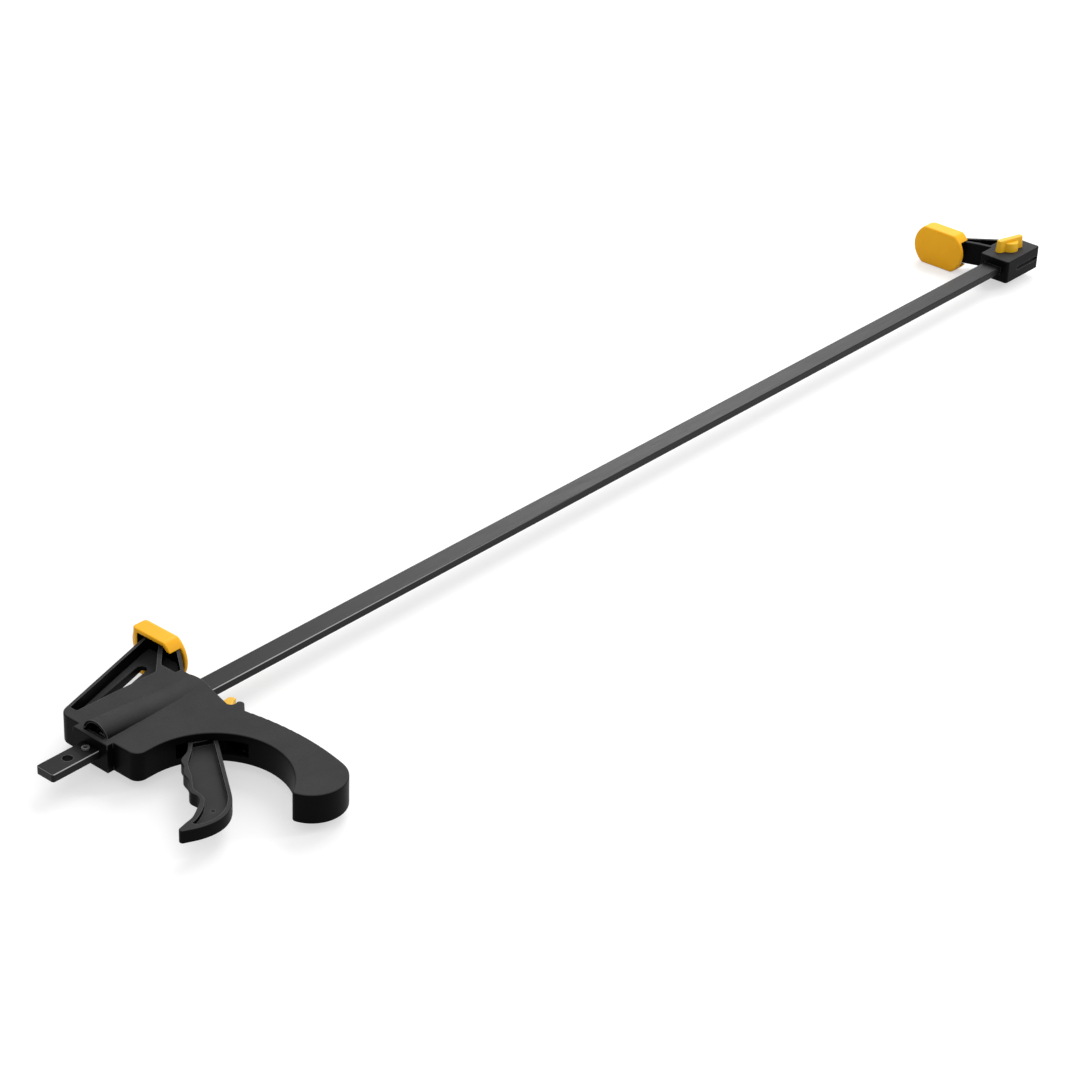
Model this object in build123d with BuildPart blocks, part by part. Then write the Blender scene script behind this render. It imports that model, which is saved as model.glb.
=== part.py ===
from build123d import *
import os
from math import cos, hypot, radians, sin, sqrt, tan

# One-handed quick release bar clamp, 900 mm opening, lying on its side.
# Origin: centre of the hole at the tail end of the bar. +X runs along the bar
# towards the fixed jaw, +Y towards the jaw tips, +Z up through the hole. Millimetres.

# ---------------------------------------------------------------- driving dimensions
# bar
bar_length = 1101.0
bar_width = 16.0
bar_thick = 6.0
bar_edge_r = 0.7
bar_corner_r = 2.0           # corners of its ends, seen from above
end_margin = 19.1            # bar end to the centre of its locking hole
lock_hole_r = 3.6
stop_pin_x = 14.9
stop_pin_r = 2.5
stop_pin_bore_r = 1.5
stop_pin_slit = 1.0
stop_pin_length = 8.4

# housing: two half shells that meet at z = 0
half_thick = 10.7
wall = 2.5
skin = 2.4
collar_x = 18.7
collar_half = 16.0
body_rear_x = 23.7
body_front_x = 112.3
rear_corner_r = 7.0
arch_x, arch_y, arch_r = 38.3, -89.1, 51.4
hook_x, hook_y, hook_r = 85.0, -130.0, 23.0
grip_back_r = 196.4
grip_lean = 12.3             # degrees that the back arc leans where it meets the hook
neck_y = -48.4
arch_mid_angle = 15.0        # degrees from +X, a point of the arch
hook_mid_angle = -95.0       # degrees from +X, a point of the hook
hook_tip_r = 3.0
flange_corner_r = 9.0
outer_edge_r = 1.0
guard_reach = 0.6            # guard nose beyond the front face of the body
guard_rise = 8.9             # nose above the neck of the grip
guard_below = (1.0, 3.4)     # where the nose starts: behind it and below it
guard_above = (2.6, 2.0)     # where the nose ends: behind it and above it
scoop_depth = 6.7            # finger scoop over the guard, behind the front face
scoop_rise = 11.5            # low corner of the scoop above the neck
scoop_top_y = -16.5
scoop_shoulder = (7.4, 17.1)  # foot of the slope that leads out of the scoop
slope_top_y = -6.5           # where that slope meets the front face
guard_crown_r = 1.0

# humped spring tunnel of the upper shell
hump_root = 0.4              # how deep the hump's foot is sunk below the rounded rim
tunnel_root = 0.6            # how deep the tunnel's mouth is sunk below the cavity's top
hump_half_rear = 11.8
hump_half_front = 11.0
hump_rise_rear = 8.3
hump_rise_front = 0.6
hump_wall = 1.8
hump_cut_end_x = 100.0

# jaw frame of the housing
jaw_foot_y = 13.5
flange_wall = 2.6
flange_slope = 0.293
flange_start = (36.7, 37.7)
flange_pocket_back = 4.5     # pocket's rear end behind flange_start
web_half = 1.5
pocket_low_y = 26.6
pocket_floor_fall = (0.9, 1.2)  # pocket floor above its height at the rear, below it in front
pocket_corner_r = 1.6
floor_wall = 3.4             # between the web pocket and the body's cavity
rib_wall = 2.8
rib_foot = (100.6, 25.0)
rib_angle = 44.5
window_x = 106.8
window_low_y = 15.6
window_corner_r = 1.0
web_slot_width = 7.5
web_slot_start = (58.0, 33.2)
web_slot_end = (103.6, 45.0)

# pads
pad_center_y = 55.0
pad_straight = 30.0
pad_bulge = 9.5
pad_half_height = 17.0
pad_depth = 14.1
pad_face = 4.0
pad_lip = 3.0
pad_front_x = 133.0
pad_edge_r = 4.0
pad_gap = 0.3
pad_mouth_half = 11.0
pad_mouth_y = 38.0
pad_tip_depth = 6.0          # depth of the lip round the tip
pad_tip_rise = (1.8, 1.5)    # where the lip runs out: below the straight's end, below the tip
pad_hook = 2.0               # wall of the sloping lip that hooks over the plate's tip
pad_face_r = 2.0
plate_wall = 4.0
plate_root = 1.0             # jaw plate's foot above the pad's lower lip

# clearances
bar_gap = 0.3                # bar in its plastic guides, each side
plate_gap = 0.1              # steel plates on the bar, each side
pin_gap = 0.05               # trigger on its pin
seat_gap = 0.1               # springs and rest contacts
rattle = 0.3                 # plastic parts that move past each other

# trigger and its pin
pivot_x, pivot_y = 84.0, -28.0
trigger_half = 4.7
trigger_hub_r = 7.0
trigger_pin_r = 3.0
nose_r = 3.5
nose_offset_x = -1.5
nose_arm = 14.5
trigger_web_half = 1.2
ejector_mark = (24.4, -104.8)
ejector_mark_r = 1.5
ejector_mark_depth = 0.6

# drive plates and spring
drive_plate_t = 3.0
drive_plate_top = 14.5
drive_plate_low = -19.5
plate_half_z = 7.8
drive_plate_space = 0.2
spring_inner_r = 8.5
spring_wire = 1.2
spring_turns = 9.5
spring_seat_depth = 5.4

# brake plate, spring and release lever
brake_pivot_x, brake_pivot_y = 98.0, 14.5
brake_tilt = 7.5
brake_plate_t = 3.0
brake_plate_above = 1.4
brake_hole = 16.8
brake_spring_y = -15.8
brake_spring_r = 3.0
brake_spring_wire = 0.8
brake_spring_turns = 4.5
brake_seat_x = 91.4
brake_seat_t = 2.2
release_half = 5.2
release_front_x = 118.5
release_drop = 7.4           # top of the tab below the scoop's end
release_grip = 6.7           # how far the plate's tail reaches into the tab
release_outline = [          # behind the front of the tab and below its top
    (18.1, 1.6), (10.9, 0.6), (3.9, -0.2), (0.5, 1.0),
    (0.0, 4.4), (5.1, 6.8), (9.5, 10.6), (16.9, 10.0),
]

# shell screws
screw_r = 1.45
screw_head_r = 3.1
screw_head_h = 2.2
screw_length = 14.0
screw_sites = [
    (32.0, -28.5), (32.0, 19.6), (58.0, 19.4), (101.4, 20.4),
    (97.6, -62.0), (101.6, -99.0), (86.0, -133.0),
]
screw_boss_r = 4.4
screw_bore_depth = 3.0
screw_hole_play = 0.2
screw_head_edge_r = 0.7
recess_length, recess_width, recess_depth = 3.6, 0.8, 1.4
ridge_wall = 1.4

# fixed jaw and its lock
fixed_face_back = 25.8       # pad face to the axis of the lock pin
fixed_half_thick = 10.0
fixed_base_back = 2.0        # base front face behind the pad face
fixed_base_end_wall = 5.5
fixed_low_y = -15.4
fixed_high_y = 13.0
fixed_corner_r = 2.5
fixed_edge_r = 1.0
fixed_rim = 3.0
fixed_slot_half = 1.8
fixed_slot_depth = 3.6
fixed_slot_start = 14.0      # from the front face of the base
fixed_slot_length = 32.0
lock_pin_r = 3.4
lock_pin_reach = 1.3         # below the middle of the bar
lock_floor = 1.2
lock_flange_r = 4.3
lock_flange_t = 1.0
lock_lift = 4.6
lock_well_r = 4.7
lock_boss_r = 6.5
lock_boss_rise = 4.4
lock_bush_t = 1.5
lock_stem_r = 2.0
lock_spring_wire = 0.7
lock_spring_turns = 3.6
knob_hub_r = 7.9
knob_hub_height = 7.6
knob_height = 10.3
knob_draft = 4.0
knob_edge_r = 1.0
knob_skirt_gap = 0.3
knob_wing_reach = 11.0
knob_wing_r = 3.2
knob_turn = -15.0

# ---------------------------------------------------------------- worked-out places
bar_tail_x = -end_margin
bar_end_x = bar_tail_x + bar_length
lock_x = bar_end_x - end_margin
body_low_y = arch_y + arch_r
inner_top_z = half_thick - skin
fixed_face_x = lock_x - fixed_face_back
fixed_base_x = fixed_face_x + fixed_base_back
fixed_base_end_x = bar_end_x + bar_gap + fixed_base_end_wall
mirror_x = (pad_front_x + fixed_face_x) / 2
tunnel_start_x = collar_x + wall
cavity_top = pocket_low_y - floor_wall
plate_front_x = pad_front_x - pad_face
plate_rear_x = plate_front_x - plate_wall
guide_half_y = bar_width / 2 + bar_gap
guide_half_z = bar_thick / 2 + bar_gap
plate_foot_y = pad_center_y - pad_straight / 2 - pad_bulge + pad_lip + pad_gap + plate_root
tab_top_y = scoop_top_y - release_drop
brake_plate_below = (brake_pivot_y - tab_top_y + release_grip) / cos(radians(brake_tilt))
pad_rear_x = pad_front_x - pad_depth
pad_tip_x = pad_front_x - pad_tip_depth
pad_tip_y = pad_center_y + pad_straight / 2 + pad_bulge


def polar(center_x, center_y, radius, angle):
    """Point on a circle, angle in degrees from +X."""
    return (center_x + radius * cos(radians(angle)), center_y + radius * sin(radians(angle)))


def flange_y(x):
    """Outer line of the jaw flange."""
    return flange_start[1] + (x - flange_start[0]) * flange_slope


def hump_top(x):
    """Height of the hump's crest along the bar."""
    share = (x - body_rear_x) / (body_front_x - body_rear_x)
    return half_thick + hump_rise_rear + share * (hump_rise_front - hump_rise_rear)


def grip_curves(inset):
    """Where the grip's arcs meet, all moved inwards by inset: tip of the hook, start, middle
    and end of the back."""
    arch, hook, back = arch_r + inset, hook_r - inset, grip_back_r - inset
    gap = hypot(hook_x - arch_x, hook_y - arch_y)
    along = (arch**2 - hook**2 + gap**2) / (2 * gap)
    across = sqrt(arch**2 - along**2)
    unit_x, unit_y = (hook_x - arch_x) / gap, (hook_y - arch_y) / gap
    tip = (arch_x + along * unit_x + across * unit_y, arch_y + along * unit_y - across * unit_x)
    center_x, center_y = polar(hook_x, hook_y, -(grip_back_r - hook_r), -grip_lean)
    neck_x = center_x + sqrt(back**2 - (neck_y - center_y) ** 2)
    return tip, polar(hook_x, hook_y, hook, -grip_lean), (center_x + back, center_y), (neck_x, neck_y)


def grip_lines(inset):
    """Arch, hook and back of the grip, from below the body to the neck."""
    tip, back_start, back_mid, neck = grip_curves(inset)
    low_y = arch_y + arch_r + inset
    arch_mid = polar(arch_x, arch_y, arch_r + inset, arch_mid_angle)
    ThreePointArc((arch_x, low_y), arch_mid, tip)
    ThreePointArc(tip, polar(hook_x, hook_y, hook_r - inset, hook_mid_angle), back_start)
    ThreePointArc(back_start, back_mid, neck)
    return tip, neck


guard_nose = (body_front_x + guard_reach, neck_y + guard_rise)
guard_foot = (guard_nose[0] - guard_below[0], guard_nose[1] - guard_below[1])
guard_crown = (guard_nose[0] - guard_above[0], guard_nose[1] + guard_above[1])
scoop_mid = (body_front_x - scoop_depth, neck_y + scoop_rise)
scoop_end = (body_front_x - scoop_shoulder[0], scoop_top_y - scoop_shoulder[1])
shoulder_y = flange_y(body_rear_x)

os.makedirs("parts", exist_ok=True)

# ---------------------------------------------------------------- bar
with BuildPart() as bar:
    with BuildSketch(Plane.XY.offset(-bar_thick / 2)):
        with Locations(((bar_tail_x + bar_end_x) / 2, 0)):
            RectangleRounded(bar_length, bar_width, bar_corner_r)
    extrude(amount=bar_thick)
    rims = bar.faces().filter_by(Axis.Z).edges()
    fillet(rims, bar_edge_r)
    with Locations((0, 0), (lock_x, 0)):
        Hole(lock_hole_r)
    with Locations((stop_pin_x, 0)):
        Hole(stop_pin_r)
bar.part.label = "bar"
export_step(bar.part, "parts/bar.step")

# slotted spring pin that keeps the housing on the bar
with BuildPart() as bar_stop_pin:
    with BuildSketch(Plane.XY.offset(-stop_pin_length / 2)):
        with Locations((stop_pin_x, 0)):
            Circle(stop_pin_r)
            Circle(stop_pin_bore_r, mode=Mode.SUBTRACT)
        with Locations((stop_pin_x - stop_pin_r, 0)):
            Rectangle(2 * stop_pin_r - stop_pin_bore_r, stop_pin_slit, mode=Mode.SUBTRACT)
    extrude(amount=stop_pin_length)
bar_stop_pin.part.label = "bar_stop_pin"
export_step(bar_stop_pin.part, "parts/bar_stop_pin.step")

# ---------------------------------------------------------------- pad and plate sections
# Barrel shape: straight along the jaw, bulging at both ends.
with BuildSketch() as pad_profile:
    with BuildLine():
        half = pad_straight / 2
        Line((pad_center_y - half, pad_half_height), (pad_center_y + half, pad_half_height))
        ThreePointArc(
            (pad_center_y + half, pad_half_height),
            (pad_center_y + half + pad_bulge, 0),
            (pad_center_y + half, -pad_half_height),
        )
        Line((pad_center_y + half, -pad_half_height), (pad_center_y - half, -pad_half_height))
        ThreePointArc(
            (pad_center_y - half, -pad_half_height),
            (pad_center_y - half - pad_bulge, 0),
            (pad_center_y - half, pad_half_height),
        )
    make_face()
    fillet(pad_profile.vertices(), pad_edge_r)

# The lip runs out in a slope towards the tip of the jaw and hooks over the plate there.
slope_start_y = pad_center_y + pad_straight / 2 - pad_tip_rise[0]
slope_end_y = pad_tip_y - pad_tip_rise[1]
tip_slope = (slope_end_y - slope_start_y) / (pad_tip_x - pad_rear_x)


def tip_cut(start_x, end_x, inset):
    """Corners of all that lies beyond the sloping tip, moved inwards by inset."""
    drop = inset * sqrt(1 + tip_slope**2)
    beyond = pad_tip_y + pad_bulge
    slope = [(x, slope_start_y + (x - pad_rear_x) * tip_slope - drop) for x in (start_x, end_x)]
    return *slope, (end_x, beyond), (start_x, beyond)


# ---------------------------------------------------------------- housing outline
with BuildSketch() as housing_outline:
    with BuildLine():
        tip, neck = grip_lines(0)
        Line(neck, guard_foot)
        ThreePointArc(guard_foot, guard_nose, guard_crown)
        ThreePointArc(guard_crown, scoop_mid, scoop_end)
        Polyline(
            scoop_end,
            (body_front_x, slope_top_y),
            (body_front_x, jaw_foot_y),
            (plate_front_x, plate_foot_y),
            (plate_front_x, flange_y(plate_front_x)),
            (body_rear_x, shoulder_y),
            (body_rear_x, collar_half),
            (collar_x, collar_half),
            (collar_x, -collar_half),
            (body_rear_x, -collar_half),
            (body_rear_x, body_low_y),
            (arch_x, body_low_y),
        )
    make_face()
    for corner, radius in (
        ((body_rear_x, shoulder_y), flange_corner_r),
        ((body_rear_x, body_low_y), rear_corner_r),
        (tip, hook_tip_r),
        (guard_crown, guard_crown_r),
    ):
        corners = housing_outline.vertices()
        fillet(corners.sort_by_distance(corner)[0], radius)

# ---------------------------------------------------------------- one half shell, z >= 0
with BuildSketch() as body_cavity:
    with BuildLine():
        tip, neck = grip_lines(wall)
        Polyline(
            neck,
            (scoop_mid[0] - wall, scoop_mid[1]),
            (scoop_end[0] - wall, scoop_end[1]),
            (body_front_x - wall, slope_top_y),
            (body_front_x - wall, window_low_y - wall),
            (window_x - wall, window_low_y - wall),
            (window_x - wall, cavity_top),
            (body_rear_x + wall, cavity_top),
            (body_rear_x + wall, collar_half - wall),
            (collar_x + wall, collar_half - wall),
            (collar_x + wall, wall - collar_half),
            (body_rear_x + wall, wall - collar_half),
            (body_rear_x + wall, body_low_y + wall),
            (arch_x, body_low_y + wall),
        )
    make_face()
    corners = body_cavity.vertices()
    inner_corner = corners.sort_by_distance((body_rear_x + wall, body_low_y + wall))[0]
    fillet(inner_corner, rear_corner_r - wall)

rib_dir = (cos(radians(rib_angle)), sin(radians(rib_angle)))


def rib_side(x, side):
    """Y of one side of the diagonal rib at x; side is +1 for the upper side."""
    lift = side * rib_wall / 2 / rib_dir[0]
    return rib_foot[1] + (x - rib_foot[0]) * rib_dir[1] / rib_dir[0] + lift


flange_drop = flange_wall * sqrt(1 + flange_slope**2)
front_wall_slope = (plate_foot_y - jaw_foot_y) / (plate_front_x - body_front_x)
front_wall_lift = flange_wall * sqrt(1 + front_wall_slope**2)
pocket_rear_x = flange_start[0] - flange_pocket_back

with BuildSketch(Plane.XY.offset(web_half)) as web_pocket:
    with BuildLine():
        rib_low_x = rib_foot[0] - rib_wall / 2 / rib_dir[1]
        Polyline(
            (pocket_rear_x, pocket_low_y + pocket_floor_fall[0]),
            (rib_low_x, pocket_low_y - pocket_floor_fall[1]),
            (plate_rear_x, rib_side(plate_rear_x, 1)),
            (plate_rear_x, flange_y(plate_rear_x) - flange_drop),
            (pocket_rear_x, flange_y(pocket_rear_x) - flange_drop),
            close=True,
        )
    make_face()
    fillet(web_pocket.vertices(), pocket_corner_r)

with BuildSketch(Plane.XY.offset(web_half)) as front_window:
    with BuildLine():
        Polyline(
            (window_x, window_low_y),
            (window_x, rib_side(window_x, -1)),
            (plate_rear_x, rib_side(plate_rear_x, -1)),
            (plate_rear_x, jaw_foot_y + front_wall_lift
             + (plate_rear_x - body_front_x) * front_wall_slope),
            (body_front_x - wall + 1.6, window_low_y),
            close=True,
        )
    make_face()
    fillet(front_window.vertices(), window_corner_r)

slot_mid = ((web_slot_start[0] + web_slot_end[0]) / 2, (web_slot_start[1] + web_slot_end[1]) / 2)

with BuildPart() as shell_half:
    with BuildSketch():
        add(housing_outline.sketch)
    extrude(amount=half_thick)
    rim = shell_half.faces().sort_by(Axis.Z)[-1].outer_wire().edges()
    fillet(rim, outer_edge_r)
    # jaw plate that carries the pad
    with BuildSketch(Plane.YZ.offset(plate_rear_x)):
        add(pad_profile.sketch)
        offset(amount=-(pad_lip + pad_gap), mode=Mode.REPLACE)
        with Locations((pad_center_y, -pad_half_height)):
            Rectangle(2 * pad_straight + 4 * pad_bulge, 2 * pad_half_height, mode=Mode.SUBTRACT)
    extrude(amount=plate_wall)
    with BuildSketch():
        with BuildLine():
            Polyline(*tip_cut(plate_rear_x, plate_front_x, pad_hook + pad_gap), close=True)
        make_face()
    extrude(amount=pad_half_height, mode=Mode.SUBTRACT)
    # recessed web, window and through slot of the jaw frame
    add(web_pocket.sketch)
    extrude(amount=half_thick, mode=Mode.SUBTRACT)
    add(front_window.sketch)
    extrude(amount=half_thick, mode=Mode.SUBTRACT)
    with BuildSketch():
        SlotCenterPoint(slot_mid, web_slot_end, web_slot_width)
    extrude(amount=half_thick, mode=Mode.SUBTRACT)
    # hollow body and grip
    with BuildSketch():
        add(body_cavity.sketch)
    extrude(amount=inner_top_z, mode=Mode.SUBTRACT)
    # screw bosses
    with BuildSketch():
        with Locations(*screw_sites):
            Circle(screw_boss_r)
    extrude(amount=inner_top_z)
    # notch that holds the top of the brake plate, seats of both springs
    notch_half = brake_plate_t / 2 + rattle + 0.1
    notch_top = brake_pivot_y + brake_plate_above + rattle
    with BuildSketch():
        with Locations((brake_pivot_x - notch_half - 1.2, (cavity_top + brake_pivot_y) / 2)):
            Rectangle(2.4, cavity_top - brake_pivot_y + 4.0)
        with Locations((brake_pivot_x + notch_half + 1.0, notch_top - 0.2)):
            Rectangle(2.0, 4.4)
        with Locations((brake_pivot_x, notch_top + 1.0)):
            Rectangle(2 * notch_half + 4.0, 2.0)
        with Locations((brake_seat_x - brake_seat_t / 2, brake_spring_y)):
            Rectangle(brake_seat_t, 2 * brake_spring_r + 1.6)
        with Locations((tunnel_start_x + spring_seat_depth / 2, 0)):
            Rectangle(spring_seat_depth, 2 * (collar_half - wall))
    extrude(amount=inner_top_z)
    # pin boss
    boss_low = trigger_half + rattle
    with BuildSketch(Plane.XY.offset(boss_low)):
        with Locations((pivot_x, pivot_y)):
            Circle(trigger_pin_r + wall)
            Circle(trigger_pin_r, mode=Mode.SUBTRACT)
    extrude(amount=inner_top_z - boss_low)
    # bar passage
    with BuildSketch():
        with Locations((body_front_x / 2, 0)):
            Rectangle(2 * body_front_x, 2 * guide_half_y)
    extrude(amount=guide_half_z, mode=Mode.SUBTRACT)
    # slot that the trigger swings in
    with BuildSketch():
        with Locations((arch_x + 34.5, arch_y + 36.0)):
            Rectangle(37.0, 38.0)
    extrude(amount=trigger_half + rattle + 0.2, mode=Mode.SUBTRACT)
    # window that the release lever comes out of
    with BuildSketch():
        with Locations((body_front_x - 1.0, (neck_y + scoop_top_y) / 2 + 3.9)):
            Rectangle(24.0, 16.8)
    extrude(amount=release_half + rattle + 0.2, mode=Mode.SUBTRACT)
shell_half.part.label = "shell_half"

# ---------------------------------------------------------------- upper shell with its hump
spring_outer_r = spring_inner_r + spring_wire
trough_r = spring_outer_r + rattle
trough_start_x = tunnel_start_x + spring_seat_depth
plates_front_x = pivot_x + nose_offset_x - nose_r - seat_gap
plates_rear_x = plates_front_x - 2 * drive_plate_t - drive_plate_space
screw_seat_z = half_thick - screw_bore_depth

with BuildPart() as upper_shell:
    add(shell_half.part)
    for x, half_width in ((body_rear_x, hump_half_rear), (body_front_x, hump_half_front)):
        with BuildSketch(Plane.YZ.offset(x)):
            with BuildLine():
                base_z = half_thick - outer_edge_r - hump_root
                Line((-half_width, base_z), (half_width, base_z))
                ThreePointArc((half_width, base_z), (0, hump_top(x)), (-half_width, base_z))
            make_face()
    loft()
    for x, half_width in (
        (tunnel_start_x, hump_half_rear - hump_wall),
        (hump_cut_end_x, hump_half_front - hump_wall),
    ):
        with BuildSketch(Plane.YZ.offset(x)):
            with BuildLine():
                base_z = inner_top_z - tunnel_root
                Line((-half_width, base_z), (half_width, base_z))
                ThreePointArc(
                    (half_width, base_z), (0, hump_top(x) - hump_wall), (-half_width, base_z)
                )
            make_face()
    loft(mode=Mode.SUBTRACT)
    with BuildSketch(Plane.YZ.offset(trough_start_x)):
        Circle(trough_r)
    extrude(amount=plates_front_x + seat_gap - trough_start_x, mode=Mode.SUBTRACT)
    with BuildSketch():
        with Locations(*screw_sites):
            Circle(screw_r)
    extrude(amount=screw_length - screw_seat_z + rattle, mode=Mode.SUBTRACT)
upper_shell.part.label = "upper_shell"
export_step(upper_shell.part, "parts/upper_shell.step")

# ---------------------------------------------------------------- lower shell
with BuildPart() as lower_shell:
    add(shell_half.part)
    mirror(about=Plane.XY, mode=Mode.REPLACE)
    # shallow ridge that gives the spring its room
    ridge_end_x = plates_front_x + ridge_wall
    with BuildSketch(Plane.YZ.offset(trough_start_x - ridge_wall)):
        Circle(trough_r + ridge_wall)
        with Locations((0, 0)):
            Rectangle(60, 2 * (half_thick - 0.5), mode=Mode.SUBTRACT)
        with Locations((0, half_thick + 10)):
            Rectangle(60, 21, mode=Mode.SUBTRACT)
    extrude(amount=ridge_end_x - trough_start_x + ridge_wall)
    with BuildSketch(Plane.YZ.offset(trough_start_x)):
        Circle(trough_r)
    extrude(amount=plates_front_x + seat_gap - trough_start_x, mode=Mode.SUBTRACT)
    with BuildSketch(Plane.XY.offset(-half_thick)):
        with Locations(*screw_sites):
            Circle(screw_r + screw_hole_play)
    extrude(amount=half_thick, mode=Mode.SUBTRACT)
    with BuildSketch(Plane.XY.offset(-half_thick)):
        with Locations(*screw_sites):
            Circle(screw_head_r + rattle)
    extrude(amount=screw_bore_depth, mode=Mode.SUBTRACT)
lower_shell.part.label = "lower_shell"
export_step(lower_shell.part, "parts/lower_shell.step")

# self-tapping screws, driven from below
with BuildPart() as shell_screws:
    with BuildSketch(Plane.XY.offset(-screw_seat_z)):
        with Locations(*screw_sites):
            Circle(screw_r)
    extrude(amount=screw_length)
    with BuildSketch(Plane.XY.offset(-screw_seat_z)):
        with Locations(*screw_sites):
            Circle(screw_head_r)
    extrude(amount=-screw_head_h)
    head_rims = shell_screws.faces().group_by(Axis.Z)[0].edges()
    fillet(head_rims, screw_head_edge_r)
    with BuildSketch(Plane.XY.offset(-screw_seat_z - screw_head_h)):
        with Locations(*screw_sites):
            Rectangle(recess_width, recess_length)
            Rectangle(recess_length, recess_width)
    extrude(amount=recess_depth, mode=Mode.SUBTRACT)
shell_screws.part.label = "shell_screws"
export_step(shell_screws.part, "parts/shell_screws.step")

# ---------------------------------------------------------------- trigger
# finger side of the trigger, from the housing to the tip: two finger rests between three peaks
trigger_front = [
    (62.4, -42.6), (54.4, -49.8), (45.3, -54.5), (42.2, -60.2), (37.2, -65.0),
    (34.9, -71.0), (30.6, -77.2), (25.6, -84.0), (25.8, -89.4), (20.4, -96.4),
    (9.0, -103.3), (-5.0, -106.4),
]
trigger_back = ((90.0, -37.0), (42.6, -102.4))
trigger_sole = [trigger_back[1], (34.2, -111.4), (20.1, -117.4), (5.4, -115.6), (-6.0, -110.4)]
tip_out = (-0.97, -0.22)
tip_in = (-0.9, 0.44)

with BuildSketch() as trigger_outline:
    with BuildLine():
        Spline(*trigger_front, tangents=((-0.72, -0.7), tip_out))
        tip = TangentArc(trigger_front[-1], trigger_sole[-1], tangent=tip_out)
        back_run = Vector(*trigger_back[1]) - Vector(*trigger_back[0])
        Spline(*trigger_sole, tangents=(back_run, tip_in))
        Polyline(trigger_back[1], trigger_back[0], (78.6, -33.0), trigger_front[0])
    make_face()

# recess in each side, which leaves a rim around a thin web
recess_front = [
    (63.6, -45.4), (54.6, -53.4), (44.8, -61.6), (36.8, -73.4), (29.4, -83.4),
    (28.2, -91.4), (21.0, -100.4), (3.6, -108.2),
]
recess_back = ((76.2, -51.4), (40.6, -100.8))
recess_sole = [recess_back[1], (33.0, -108.6), (20.6, -114.2), (5.6, -111.8)]

with BuildSketch() as trigger_recess:
    with BuildLine():
        Spline(*recess_front)
        Line(recess_front[-1], recess_sole[-1])
        recess_run = Vector(*recess_back[1]) - Vector(*recess_back[0])
        Spline(*recess_sole, tangents=(recess_run, tip_in))
        Polyline(recess_back[1], recess_back[0], recess_front[0])
    make_face()
    with Locations((pivot_x, pivot_y)):
        Circle(trigger_hub_r + 12.0, mode=Mode.SUBTRACT)

with BuildPart() as trigger:
    with BuildSketch(Plane.XY.offset(-trigger_half)):
        add(trigger_outline.sketch)
        with Locations((pivot_x, pivot_y)):
            Circle(trigger_hub_r)
        with BuildLine():
            Polyline(
                (pivot_x - nose_r, pivot_y),
                (pivot_x + nose_offset_x - nose_r, pivot_y + nose_arm),
                (pivot_x + nose_offset_x + nose_r, pivot_y + nose_arm),
                (pivot_x + nose_r, pivot_y),
                close=True,
            )
        make_face()
        with Locations((pivot_x + nose_offset_x, pivot_y + nose_arm)):
            Circle(nose_r)
    extrude(amount=2 * trigger_half)
    flats = trigger.faces().filter_by(Plane.XY)
    fillet(flats.edges().filter_by_position(Axis.Y, -130, -45), 0.6)
    for side in (-1, 1):
        with BuildSketch(Plane.XY.offset(side * trigger_web_half)):
            add(trigger_recess.sketch)
        extrude(amount=side * trigger_half, mode=Mode.SUBTRACT)
    with BuildSketch(Plane.XY.offset(trigger_web_half)):
        with Locations(ejector_mark):
            Circle(ejector_mark_r)
    extrude(amount=-ejector_mark_depth, mode=Mode.SUBTRACT)
    with Locations((pivot_x, pivot_y)):
        Hole(trigger_pin_r + pin_gap)
trigger.part.label = "trigger"
export_step(trigger.part, "parts/trigger.step")

with BuildPart() as trigger_pin:
    with BuildSketch(Plane.XY.offset(-inner_top_z)):
        with Locations((pivot_x, pivot_y)):
            Circle(trigger_pin_r)
    extrude(amount=2 * inner_top_z)
    chamfer(trigger_pin.faces().filter_by(Plane.XY).edges(), 0.5)
trigger_pin.part.label = "trigger_pin"
export_step(trigger_pin.part, "parts/trigger_pin.step")

# ---------------------------------------------------------------- drive plates and spring
with BuildSketch() as drive_plate_profile:
    with Locations((0, (drive_plate_top + drive_plate_low) / 2)):
        RectangleRounded(2 * plate_half_z, drive_plate_top - drive_plate_low, 2.0)
    Rectangle(
        bar_thick + 2 * plate_gap, bar_width + 2 * plate_gap, mode=Mode.SUBTRACT
    )

plate_plane = Plane(origin=(0, 0, 0), x_dir=(0, 0, 1), z_dir=(-1, 0, 0))
for index, name in enumerate(("drive_plate_front", "drive_plate_rear")):
    face_x = plates_front_x - index * (drive_plate_t + drive_plate_space)
    with BuildPart() as drive_plate:
        with BuildSketch(plate_plane.offset(-face_x)):
            add(drive_plate_profile.sketch)
        extrude(amount=drive_plate_t)
    drive_plate.part.label = name
    export_step(drive_plate.part, f"parts/{name}.step")

with BuildPart() as drive_spring:
    coil_start_x = trough_start_x + spring_wire / 2 + seat_gap
    coil_end_x = plates_rear_x - spring_wire / 2 - seat_gap
    with BuildLine():
        coil = Helix(
            (coil_end_x - coil_start_x) / spring_turns,
            coil_end_x - coil_start_x,
            spring_inner_r + spring_wire / 2,
            center=(coil_start_x, 0, 0),
            direction=(1, 0, 0),
        )
    with BuildSketch(Plane(coil @ 0, z_dir=coil % 0)):
        Circle(spring_wire / 2)
    sweep(is_frenet=True)
drive_spring.part.label = "drive_spring"
export_step(drive_spring.part, "parts/drive_spring.step")

# ---------------------------------------------------------------- brake plate, spring, lever
brake_plane = Plane(
    origin=(brake_pivot_x, brake_pivot_y, 0),
    x_dir=(0, 0, -1),
    z_dir=(cos(radians(brake_tilt)), sin(radians(brake_tilt)), 0),
)
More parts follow.
